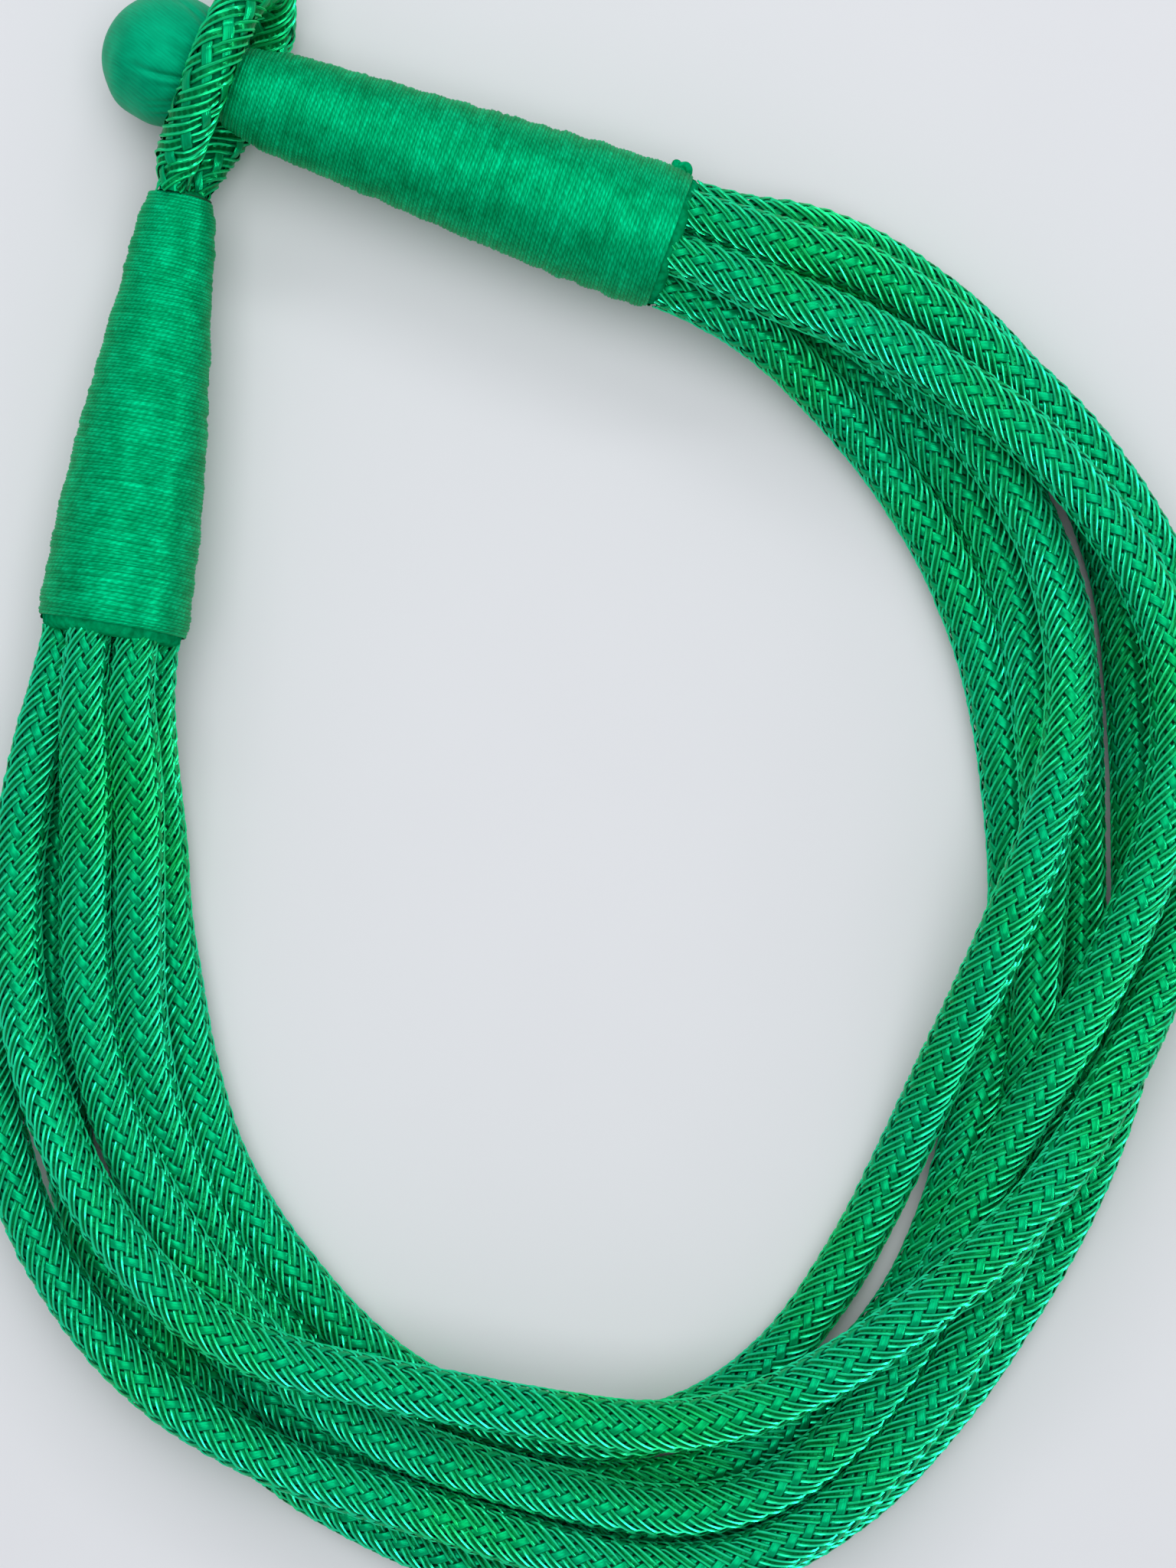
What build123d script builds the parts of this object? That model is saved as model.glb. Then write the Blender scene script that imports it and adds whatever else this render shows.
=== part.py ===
"""Multi-strand cord necklace with two thread-whipped ends, a cord loop and a covered ball button.

Millimetres, +Z up. The necklace lies flat: the origin is on the surface under the middle of its outline,
+X goes to the wearer's side of the loose ring and +Y towards the clasp.
"""
import os
from math import pi, radians, tan

from build123d import *

# Cords: a braided mesh sleeve drawn over a filler core
SLEEVE_OUTER = 6.4
SLEEVE_INNER = 5.0
CORE_DIAMETER = 4.8
ARC_SHARE = 0.45            # part of the shorter run that each arc takes at a corner

# Whipped ends: middle of the narrow end and of the mouth, and radii along the way
BUTTON_END_NARROW = Vector(-54.6, 105.8, 13.6)
BUTTON_END_MOUTH = Vector(12.1, 82.5, 11.4)
BUTTON_END_RADII = [(0.0, 5.5), (0.02, 6.4), (0.06, 7.0), (0.14, 7.6), (0.37, 8.7), (0.63, 9.9),
                    (0.84, 10.7), (1.0, 10.8)]
LOOP_END_NARROW = Vector(-62.3, 89.5, 10.2)
LOOP_END_MOUTH = Vector(-72.6, 23.8, 11.4)
LOOP_END_RADII = [(0.0, 5.0), (0.04, 5.5), (0.10, 6.0), (0.26, 6.7), (0.43, 8.0), (0.62, 10.1),
                  (0.80, 10.8), (1.0, 11.4)]
WHIPPING_WALL = 1.1         # layers of thread over the gathered strands
BUNDLE_GAP = 0.1
BORE_TAPER = 1.2            # how much tighter the bore is where the gathered strands start
SHANK_HOLE = 2.6            # opening at the narrow end, for the button's shank
BUNDLE_SETBACK = 3.4        # from the narrow end to where the gathered strands start
LOOP_FACE = 4.9             # radius of the gathered loop legs where they leave the narrow end

# Ball button
BUTTON_CENTRE = Vector(-64.2, 110.3, 10.0)
COVER_RADIUS = 10.0
COVER_THICKNESS = 0.8
COVER_SHOULDER = (8.9, 4.56)     # where the cover leaves the ball, along and out from the neck axis
NECK_START = (9.6, 3.1)
NECK_RADIUS = 2.8
NECK_GAP = 1.2                   # between the gathered neck and the whipped end
BEAD_RADIUS = 9.1
SHANK_RADIUS = 1.1
SHANK_CLEARANCE = 0.25
BEAD_BORE_END = -4.0             # along the neck axis, past the bead's middle
KNOT_RADIUS = 1.4
KNOT_SETBACK = 2.2               # from the mouth to the knot that ends the whipping

# Routes: each list goes from the button end to the loop end, the loop's from its upper leg to its lower one
STRAND_1_ROUTE = [
    (14.0, 86.6, 16.8), (22.0, 83.8, 16.9), (31.0, 80.7, 16.8), (40.7, 78.2, 15.0),
    (54.9, 69.7, 13.0), (67.2, 59.5, 12.0), (77.6, 48.0, 11.8), (85.4, 35.0, 11.8),
    (90.5, 21.5, 11.8), (92.6, 7.1, 11.8), (91.2, -7.3, 11.8), (88.2, -21.1, 11.8),
    (83.2, -34.3, 13.0), (76.2, -47.2, 17.0), (68.0, -59.2, 19.4), (58.1, -69.8, 19.4),
    (47.2, -78.8, 19.4), (35.3, -86.8, 19.4), (22.2, -93.1, 19.4), (8.5, -95.2, 19.4),
    (-6.3, -93.1, 19.4), (-21.1, -90.4, 19.4), (-34.7, -87.7, 19.4), (-47.8, -84.6, 19.4),
    (-59.2, -79.0, 19.4), (-68.7, -69.8, 19.4), (-76.1, -59.1, 18.5), (-81.8, -47.4, 15.0),
    (-85.7, -35.0, 12.0), (-87.3, -21.1, 11.8), (-86.4, -6.7, 11.8), (-83.8, 6.5, 12.4),
    (-80.9, 16.3, 12.7), (-79.5, 24.7, 12.7),
]
STRAND_2_ROUTE = [
    (11.7, 80.1, 18.1), (19.7, 77.3, 18.3), (28.1, 73.4, 19.0), (37.6, 69.9, 19.6),
    (50.1, 63.0, 19.6), (62.0, 55.4, 19.6), (72.3, 45.5, 19.6), (80.5, 34.4, 19.6),
    (85.7, 21.8, 19.6), (87.1, 8.8, 19.6), (85.2, -4.1, 19.6), (81.4, -16.3, 19.4),
    (75.9, -28.3, 18.0), (69.6, -40.8, 15.5), (62.6, -52.8, 12.0), (56.2, -65.0, 11.8),
    (50.8, -77.6, 11.8), (43.3, -90.7, 11.8), (34.0, -101.1, 11.8), (22.5, -107.7, 11.8),
    (8.7, -108.9, 11.8), (-6.3, -105.7, 11.8), (-21.3, -101.5, 11.8), (-35.2, -96.2, 11.8),
    (-46.7, -87.4, 11.8), (-55.7, -77.1, 11.8), (-62.6, -67.6, 11.8), (-68.6, -57.5, 11.8),
    (-73.0, -47.1, 11.8), (-75.8, -35.0, 11.8), (-76.8, -21.1, 11.8), (-76.2, -6.7, 13.5),
    (-75.9, 7.1, 16.5), (-76.3, 15.7, 18.1), (-75.0, 24.1, 18.1),
]
STRAND_3_ROUTE = [
    (12.6, 82.3, 11.4), (20.6, 79.5, 11.5), (28.3, 76.0, 11.4), (36.9, 71.5, 11.6),
    (47.9, 62.9, 11.6), (57.7, 53.3, 11.8), (65.7, 41.7, 12.5), (70.4, 29.5, 14.5),
    (71.7, 16.8, 17.0), (70.3, 3.6, 18.8), (65.7, -10.6, 19.0), (59.9, -25.0, 16.0),
    (53.8, -39.4, 10.0), (47.9, -53.5, 5.0), (41.5, -67.0, 4.0), (34.5, -78.7, 4.0),
    (26.3, -88.6, 4.0), (15.2, -95.9, 4.0), (2.9, -99.3, 4.0), (-9.9, -97.8, 4.0),
    (-22.8, -93.4, 4.0), (-33.3, -86.9, 4.0), (-42.1, -78.1, 4.0), (-50.2, -67.8, 4.0),
    (-56.7, -57.1, 4.0), (-60.8, -44.2, 4.0), (-63.2, -31.4, 4.0), (-65.4, -17.3, 4.0),
    (-66.2, -3.3, 4.2), (-67.1, 5.4, 7.0), (-67.0, 14.1, 10.2), (-65.7, 22.5, 10.2),
]
STRAND_4_ROUTE = [
    (13.5, 84.6, 4.8), (21.5, 81.7, 4.7), (30.3, 78.8, 4.1), (39.4, 74.4, 4.0), (50.6, 65.1, 4.0),
    (60.2, 54.0, 4.0), (67.4, 41.1, 4.0), (72.1, 27.1, 4.0), (74.0, 13.1, 4.0), (74.2, -2.1, 4.0),
    (74.5, -17.3, 4.0), (74.0, -30.2, 4.0), (74.0, -42.9, 5.5), (70.9, -54.8, 9.8),
    (64.1, -66.2, 11.0), (58.9, -77.1, 11.4), (53.4, -88.6, 11.6), (45.1, -100.4, 11.6),
    (34.3, -110.8, 11.6), (21.6, -116.8, 11.6), (8.7, -117.7, 11.6), (-4.0, -115.2, 11.6),
    (-17.9, -111.1, 11.6), (-30.6, -107.1, 11.6), (-42.7, -103.4, 11.6), (-53.6, -98.4, 11.6),
    (-63.8, -92.3, 11.6), (-72.7, -84.2, 11.6), (-79.9, -74.8, 11.6), (-85.4, -64.4, 11.6),
    (-88.9, -53.5, 11.0), (-91.6, -42.7, 8.0), (-92.5, -31.3, 5.0), (-90.6, -17.3, 4.0),
    (-87.5, -4.5, 4.0), (-83.2, 7.2, 4.6), (-78.4, 15.8, 6.0), (-77.1, 24.2, 6.0),
]
STRAND_5_ROUTE = [
    (11.1, 78.0, 6.0), (19.1, 75.2, 5.8), (26.9, 72.6, 4.4), (34.5, 68.9, 4.0), (45.9, 58.4, 4.0),
    (56.9, 45.8, 4.0), (64.2, 30.7, 5.5), (66.7, 15.3, 8.5), (68.3, 1.4, 10.8),
    (68.2, -12.5, 11.2), (66.9, -25.8, 11.0), (66.7, -39.8, 8.9), (64.4, -52.4, 4.0),
    (61.6, -65.8, 4.0), (56.5, -78.1, 4.0), (49.2, -89.8, 4.0), (39.6, -99.1, 4.0),
    (29.2, -107.3, 4.0), (17.5, -112.5, 4.0), (4.7, -113.9, 4.0), (-8.2, -113.4, 4.0),
    (-20.4, -110.4, 4.0), (-31.5, -105.2, 4.0), (-41.7, -98.4, 4.0), (-52.0, -89.8, 4.0),
    (-60.8, -78.7, 4.0), (-66.6, -67.6, 4.0), (-70.7, -55.9, 4.0), (-72.8, -43.0, 4.0),
    (-73.8, -30.2, 4.0), (-74.2, -17.3, 4.0), (-73.4, -3.3, 4.0), (-72.8, 6.6, 4.2),
    (-71.6, 14.7, 4.8), (-70.3, 23.1, 4.8),
]
STRAND_6_ROUTE = [
    (14.9, 88.9, 10.2), (22.9, 86.1, 10.1), (33.3, 84.8, 8.8), (43.2, 81.4, 4.5),
    (57.9, 71.3, 4.0), (69.0, 58.0, 4.0), (76.6, 43.4, 4.0), (80.8, 28.8, 4.0), (82.2, 14.2, 4.0),
    (82.9, -1.0, 4.0), (83.1, -15.0, 4.0), (82.6, -29.0, 4.0), (81.0, -41.9, 4.0),
    (77.5, -53.6, 4.0), (72.1, -65.8, 4.0), (65.5, -77.5, 4.0), (58.3, -88.6, 4.0),
    (50.2, -99.1, 4.0), (40.6, -108.7, 4.0), (28.9, -116.4, 4.0), (16.4, -120.2, 4.0),
    (2.9, -121.3, 4.0), (-10.5, -120.6, 4.0), (-23.4, -116.7, 4.0), (-35.0, -111.3, 4.0),
    (-46.0, -105.0, 4.0), (-56.0, -96.1, 4.0), (-64.6, -86.0, 4.0), (-72.4, -75.8, 4.0),
    (-78.3, -64.7, 4.0), (-80.7, -52.4, 4.0), (-81.7, -39.5, 4.0), (-82.1, -25.5, 4.0),
    (-81.7, -11.5, 4.0), (-79.9, -1.5, 5.2), (-76.9, 7.4, 10.0), (-73.9, 15.2, 11.4),
    (-72.6, 23.6, 11.4),
]
STRAND_7_ROUTE = [
    (10.2, 75.7, 12.7), (18.2, 72.9, 12.7), (27.2, 67.4, 9.5), (33.7, 61.5, 7.5),
    (41.2, 53.9, 5.0), (52.3, 38.5, 4.0), (58.7, 23.3, 4.0), (62.3, 8.4, 4.0), (63.7, -5.6, 4.0),
    (64.4, -18.5, 4.0), (63.2, -30.2, 4.0), (60.2, -41.3, 4.0), (56.7, -53.6, 4.0),
    (53.0, -66.4, 4.0), (47.6, -78.1, 4.0), (39.6, -87.9, 4.0), (31.0, -96.6, 4.0),
    (21.1, -103.1, 4.0), (9.4, -106.3, 4.0), (-2.3, -106.7, 4.0), (-14.0, -104.7, 4.0),
    (-25.1, -100.5, 4.0), (-35.6, -94.7, 4.0), (-44.3, -86.0, 4.0), (-52.4, -77.6, 4.5),
    (-58.6, -66.8, 6.0), (-63.6, -56.2, 7.0), (-67.1, -45.0, 8.5), (-68.5, -32.2, 10.5),
    (-68.5, -18.3, 11.6), (-68.3, -5.0, 12.6), (-68.7, 5.4, 15.0), (-69.5, 14.6, 16.9),
    (-68.1, 23.0, 16.8),
]
LOOP_ROUTE = [
    (-63.2, 89.9, 13.6), (-62.5, 94.4, 13.6), (-60.1, 99.5, 18.6), (-57.2, 105.2, 22.0),
    (-55.1, 110.7, 22.0), (-52.9, 116.0, 20.4), (-50.3, 120.8, 16.4), (-48.3, 121.3, 8.8),
    (-48.8, 115.4, 4.0), (-51.8, 107.2, 3.3), (-55.6, 100.0, 3.9), (-59.9, 94.3, 6.6),
    (-60.7, 89.4, 6.8),
]

STRAND_ROUTES = [
    STRAND_1_ROUTE,
    STRAND_2_ROUTE,
    STRAND_3_ROUTE,
    STRAND_4_ROUTE,
    STRAND_5_ROUTE,
    STRAND_6_ROUTE,
    STRAND_7_ROUTE,
]

os.makedirs("parts", exist_ok=True)


def save(piece, label):
    """Label a finished piece and write it to its own STEP file."""
    piece.part.label = label
    export_step(piece.part, f"parts/{label}.step")


def arc_radii(points):
    """Radius of the arc at each inner corner, as large as its two runs allow."""
    corners = [Vector(*point) for point in points]
    radii = []
    for before, corner, after in zip(corners, corners[1:], corners[2:]):
        run_in = corner - before
        run_out = after - corner
        turn = radians(run_in.get_angle(run_out))
        shorter = min(run_in.length, run_out.length)
        radii.append(ARC_SHARE * shorter / tan(turn / 2))
    return radii


def sweep_along(points, outer, inner=0.0):
    """A tube or rod of the given diameters along straight runs joined by tangent arcs."""
    with BuildPart() as cord:
        with BuildLine() as path:
            FilletPolyline(*points, radius=arc_radii(points))
        route = path.wire()
        start = Plane(origin=route @ 0, z_dir=route % 0)
        with BuildSketch(start):
            Circle(outer / 2)
            if inner:
                Circle(inner / 2, mode=Mode.SUBTRACT)
        sweep(path=route)
    return cord, route.length


def make_cord(label, points):
    """A mesh sleeve and the filler core inside it, both along one route."""
    sleeve, length = sweep_along(points, SLEEVE_OUTER, SLEEVE_INNER)
    save(sleeve, f"{label}_sleeve")
    core, length = sweep_along(points, CORE_DIAMETER)
    save(core, f"{label}_core")
    radii = arc_radii(points)
    section = pi / 4 * (SLEEVE_OUTER**2 - SLEEVE_INNER**2)
    ratio = sleeve.part.volume / (section * length)
    print(f"{label}: length {length:.0f}, smallest radius {min(radii):.1f}, volume ratio {ratio:.4f}")


def axis_plane(start, end):
    """A plane through an axis: local X runs from start to end, local Y is the radius."""
    along = (end - start).normalized()
    side = along.cross(Vector(0, 0, 1)).normalized()
    return Plane(origin=start, x_dir=along, z_dir=side)


def revolved(plane, points):
    """Revolve a closed outline, given as (along, radius) points, about the plane's X axis."""
    with BuildPart() as piece:
        with BuildSketch(plane):
            with BuildLine():
                Polyline(*points, close=True)
            make_face()
        revolve(axis=Axis(plane.origin, plane.x_dir))
    return piece


def make_whipped_end(label, narrow, mouth, stations, bore, setback):
    """The thread winding as a tapered shell, and the gathered cord ends that it binds."""
    plane = axis_plane(narrow, mouth)
    length = (mouth - narrow).length
    outer = [(share * length, radius) for share, radius in stations]
    inner = [(along, radius - WHIPPING_WALL) for along, radius in outer if along > setback]
    inner.insert(0, (setback, inner[0][1] - BORE_TAPER))
    shell_outline = outer + inner[::-1] + [(setback, bore), (0.0, bore)]
    save(revolved(plane, shell_outline), f"{label}_whipping")
    bundle = [(along, radius - BUNDLE_GAP) for along, radius in inner]
    bundle[0] = (setback + BUNDLE_GAP, bundle[0][1])
    bundle_outline = [(bundle[0][0], 0.0)] + bundle + [(length, 0.0)]
    save(revolved(plane, bundle_outline), f"{label}_gathered_strands")
    return plane, length


# The seven strands and the clasp loop
for number, route in enumerate(STRAND_ROUTES, start=1):
    make_cord(f"strand_{number}", route)
make_cord("clasp_loop", LOOP_ROUTE)

# The two whipped ends
button_plane, button_length = make_whipped_end(
    "button_end", BUTTON_END_NARROW, BUTTON_END_MOUTH, BUTTON_END_RADII, SHANK_HOLE, BUNDLE_SETBACK)
loop_plane, loop_length = make_whipped_end(
    "loop_end", LOOP_END_NARROW, LOOP_END_MOUTH, LOOP_END_RADII, LOOP_FACE - BUNDLE_GAP, BUNDLE_SETBACK)

# Ends of the loop's two legs, gathered in the narrow end of the whipping
with BuildPart() as loop_tie:
    with BuildSketch(Plane(origin=LOOP_END_NARROW, z_dir=loop_plane.x_dir)):
        Circle(LOOP_FACE - 2 * BUNDLE_GAP)
    extrude(amount=BUNDLE_SETBACK)
save(loop_tie, "loop_leg_ends")

# Knot that ends the winding at the button end's mouth
knot_spot = button_plane.from_local_coords((button_length - KNOT_SETBACK, 0.0, 0.0))
outward = (Vector(0, 0, 1).cross(button_plane.x_dir)).normalized()
knot_centre = knot_spot + outward * (BUTTON_END_RADII[-1][1] + KNOT_RADIUS)
with BuildPart() as knot:
    with Locations(knot_centre):
        Sphere(KNOT_RADIUS)
save(knot, "whipping_knot")

# Ball button: wooden bead, satin cover with its gathered neck, and the cord shank they turn on
neck_plane = axis_plane(BUTTON_CENTRE, BUTTON_END_NARROW)
neck_axis = Axis(BUTTON_CENTRE, neck_plane.x_dir)
neck_end = (BUTTON_END_NARROW - BUTTON_CENTRE).length - NECK_GAP
bore_radius = SHANK_RADIUS + SHANK_CLEARANCE
cover_inner = COVER_RADIUS - COVER_THICKNESS
with BuildPart() as cover:
    with BuildSketch(neck_plane):
        with BuildLine():
            ThreePointArc((-COVER_RADIUS, 0), (0, COVER_RADIUS), COVER_SHOULDER)
            Line(COVER_SHOULDER, NECK_START)
            Line(NECK_START, (neck_end, NECK_RADIUS))
            Line((neck_end, NECK_RADIUS), (neck_end, bore_radius))
            inside = (cover_inner**2 - bore_radius**2) ** 0.5
            Line((neck_end, bore_radius), (inside, bore_radius))
            ThreePointArc((inside, bore_radius), (0, cover_inner), (-cover_inner, 0))
            Line((-cover_inner, 0), (-COVER_RADIUS, 0))
        make_face()
    revolve(axis=neck_axis)
save(cover, "button_cover")

bead_mouth = (BEAD_RADIUS**2 - bore_radius**2) ** 0.5
with BuildPart() as bead:
    with BuildSketch(neck_plane):
        with BuildLine():
            ThreePointArc((-BEAD_RADIUS, 0), (0, BEAD_RADIUS), (bead_mouth, bore_radius))
            Line((bead_mouth, bore_radius), (BEAD_BORE_END, bore_radius))
            Line((BEAD_BORE_END, bore_radius), (BEAD_BORE_END, 0))
            Line((BEAD_BORE_END, 0), (-BEAD_RADIUS, 0))
        make_face()
    revolve(axis=neck_axis)
save(bead, "button_bead")

shank_start = BEAD_BORE_END + SHANK_CLEARANCE
shank_end = neck_end + NECK_GAP + BUNDLE_SETBACK - BUNDLE_GAP
with BuildPart() as shank:
    with BuildSketch(Plane(origin=neck_plane.from_local_coords((shank_start, 0, 0)), z_dir=neck_plane.x_dir)):
        Circle(SHANK_RADIUS)
    extrude(amount=shank_end - shank_start)
save(shank, "button_shank")
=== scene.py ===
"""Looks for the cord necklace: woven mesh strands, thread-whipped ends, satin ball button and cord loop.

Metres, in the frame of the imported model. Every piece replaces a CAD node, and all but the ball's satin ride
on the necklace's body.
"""

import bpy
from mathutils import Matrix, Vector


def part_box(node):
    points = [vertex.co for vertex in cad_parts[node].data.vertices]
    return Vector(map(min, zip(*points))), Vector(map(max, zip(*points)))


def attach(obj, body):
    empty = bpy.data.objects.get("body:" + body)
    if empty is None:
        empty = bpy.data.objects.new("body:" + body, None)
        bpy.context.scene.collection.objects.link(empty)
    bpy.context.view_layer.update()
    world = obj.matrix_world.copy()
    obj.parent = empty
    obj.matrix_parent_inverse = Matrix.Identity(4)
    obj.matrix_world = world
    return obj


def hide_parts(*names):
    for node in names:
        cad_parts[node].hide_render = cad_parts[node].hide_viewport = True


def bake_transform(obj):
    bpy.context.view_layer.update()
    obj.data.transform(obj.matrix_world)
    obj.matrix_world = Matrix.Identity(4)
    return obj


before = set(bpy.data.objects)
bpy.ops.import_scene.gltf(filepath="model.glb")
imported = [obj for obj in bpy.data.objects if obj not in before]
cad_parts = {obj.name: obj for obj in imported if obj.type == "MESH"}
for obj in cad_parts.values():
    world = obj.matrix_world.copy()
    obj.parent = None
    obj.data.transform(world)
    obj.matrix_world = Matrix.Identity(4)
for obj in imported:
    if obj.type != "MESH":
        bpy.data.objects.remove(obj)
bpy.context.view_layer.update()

import math

import bpy
import numpy as np
from mathutils import Vector

MM = 0.001

# Camera: straight down on the necklace
CAMERA_PLACE = (-0.0008, 0.0009, 0.600)
VIEW_HEIGHT = 0.2409             # of the surface it lies on
SENSOR_HEIGHT = 24.0             # millimetres

# Braided mesh: ribbons that go round the cord both ways
CORD_RADIUS = 3.98 * MM          # over the floats
LOOP_RADIUS = 3.75 * MM
CARRIERS = 10                    # ribbons each way
BRAID_LEAD = 30.0 * MM           # along the cord for one turn of a ribbon
LOOP_CARRIERS = 6
LOOP_LEAD = 24.0 * MM
LOOP_TWIST = 1.0 / (50.0 * MM)   # turns of the whole braid per metre
RIBBON_WIDTH = 1.38 * MM
RIM_HEIGHT = 0.30 * MM           # the ribbon's rolled edges stand this proud
WEAVE_HEIGHT = 0.24 * MM         # of a float over the middle of the weave
RIBBON_SCATTER = 0.018           # radians by which a ribbon is out of its place
BRAID_DRIFT = 0.05               # radians by which all of them wander
RIBBON_UNEVENNESS = 0.05         # of their tilt and of their width
CORD_UNEVENNESS = 0.012          # of the cord's radius
CORE_RADIUS = 2.85 * MM
STRAND_SQUEEZE = (0.84, 16.0 * MM)   # share of the radius left at the ends, and how far the taper runs
LOOP_SQUEEZE = (0.70, 6.0 * MM)
STRAND_STEP = 0.60 * MM

# Whipped ends: middle of the narrow end and of the mouth, and stations along them, each a share of
# the length and a radius in millimetres
BUTTON_NARROW = Vector((-0.0546, 0.1058, 0.0136))
BUTTON_MOUTH = Vector((0.0121, 0.0825, 0.0114))
BUTTON_STATIONS = [(0.0, 5.0), (0.012, 6.1), (0.04, 6.8), (0.10, 7.5), (0.16, 7.9), (0.37, 8.8),
                   (0.63, 10.0), (0.84, 10.8), (0.97, 10.8), (1.0, 10.3)]
LOOP_NARROW = Vector((-0.0623, 0.0895, 0.0102))
LOOP_MOUTH = Vector((-0.0726, 0.0238, 0.0114))
LOOP_STATIONS = [(0.0, 4.9), (0.04, 5.8), (0.25, 7.3), (0.45, 9.0), (0.63, 10.3), (0.80, 11.1),
                 (0.97, 11.4), (1.0, 10.9)]
THREAD_PITCH = 0.56 * MM
THREAD_CROWN = 0.16 * MM         # height of a thread over the crease beside it
TURN_CROWDING = 0.16             # shares of the pitch by which turns crowd together
TURN_SLANT = 0.55                # and by which they lean
WINDING_SWELL = 0.13 * MM
WINDING_RIPPLE = 0.05 * MM
WINDING_MEAN_RADIUS = 8.5        # millimetres, for the scale of the thread's fibres
BUNDLE_INSET = 0.42              # millimetres from the winding's surface to the bundle in it
KNOT_SPREAD = 0.42 * MM
KNOT_THREAD = 0.58 * MM          # radius of the doubled thread in the knot
KNOT_SUNK = 1.3 * MM             # below the middle of the CAD knot
KNOT_BACK = 0.3 * MM             # towards the narrow end

# Ball button
BUTTON_CENTRE = Vector((-0.0642, 0.1103, 0.0100))
BALL_RADIUS = 10.0 * MM
NECK_PROFILE = [(8.75, 4.85), (9.1, 4.3), (9.6, 3.75), (10.3, 3.3), (11.2, 2.8)]   # (distance, radius)
NECK_END_RADIUS = 2.3            # millimetres, as in the profile
NECK_OVERLAP = 1.6               # millimetres of neck inside the winding
SATIN_FOLDS = 21
FOLD_BEGINS = (14.5, 20.5)       # millimetres over the satin from the ball's far pole, lowest and highest
FOLD_FULL = 27.0
FOLD_DEPTH = (0.35, 0.75)
FOLD_WIDTH = (0.32, 0.55)

# Routes: the CAD routes' points in metres, with the loop's lower leg lifted by up to 0.4 mm
STRAND_1_ROUTE = [
    (0.0140, 0.0866, 0.0168), (0.0220, 0.0838, 0.0169), (0.0310, 0.0807, 0.0168),
    (0.0407, 0.0782, 0.0150), (0.0549, 0.0697, 0.0130), (0.0672, 0.0595, 0.0120),
    (0.0776, 0.0480, 0.0118), (0.0854, 0.0350, 0.0118), (0.0905, 0.0215, 0.0118),
    (0.0926, 0.0071, 0.0118), (0.0912, -0.0073, 0.0118), (0.0882, -0.0211, 0.0118),
    (0.0832, -0.0343, 0.0130), (0.0762, -0.0472, 0.0170), (0.0680, -0.0592, 0.0194),
    (0.0581, -0.0698, 0.0194), (0.0472, -0.0788, 0.0194), (0.0353, -0.0868, 0.0194),
    (0.0222, -0.0931, 0.0194), (0.0085, -0.0952, 0.0194), (-0.0063, -0.0931, 0.0194),
    (-0.0211, -0.0904, 0.0194), (-0.0347, -0.0877, 0.0194), (-0.0478, -0.0846, 0.0194),
    (-0.0592, -0.0790, 0.0194), (-0.0687, -0.0698, 0.0194), (-0.0761, -0.0591, 0.0185),
    (-0.0818, -0.0474, 0.0150), (-0.0857, -0.0350, 0.0120), (-0.0873, -0.0211, 0.0118),
    (-0.0864, -0.0067, 0.0118), (-0.0838, 0.0065, 0.0124), (-0.0809, 0.0163, 0.0127),
    (-0.0795, 0.0247, 0.0127),
]
STRAND_2_ROUTE = [
    (0.0117, 0.0801, 0.0181), (0.0197, 0.0773, 0.0183), (0.0281, 0.0734, 0.0190),
    (0.0376, 0.0699, 0.0196), (0.0501, 0.0630, 0.0196), (0.0620, 0.0554, 0.0196),
    (0.0723, 0.0455, 0.0196), (0.0805, 0.0344, 0.0196), (0.0857, 0.0218, 0.0196),
    (0.0871, 0.0088, 0.0196), (0.0852, -0.0041, 0.0196), (0.0814, -0.0163, 0.0194),
    (0.0759, -0.0283, 0.0180), (0.0696, -0.0408, 0.0155), (0.0626, -0.0528, 0.0120),
    (0.0562, -0.0650, 0.0118), (0.0508, -0.0776, 0.0118), (0.0433, -0.0907, 0.0118),
    (0.0340, -0.1011, 0.0118), (0.0225, -0.1077, 0.0118), (0.0087, -0.1089, 0.0118),
    (-0.0063, -0.1057, 0.0118), (-0.0213, -0.1015, 0.0118), (-0.0352, -0.0962, 0.0118),
    (-0.0467, -0.0874, 0.0118), (-0.0557, -0.0771, 0.0118), (-0.0626, -0.0676, 0.0118),
    (-0.0686, -0.0575, 0.0118), (-0.0730, -0.0471, 0.0118), (-0.0758, -0.0350, 0.0118),
    (-0.0768, -0.0211, 0.0118), (-0.0762, -0.0067, 0.0135), (-0.0759, 0.0071, 0.0165),
    (-0.0763, 0.0157, 0.0181), (-0.0750, 0.0241, 0.0181),
]
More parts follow.
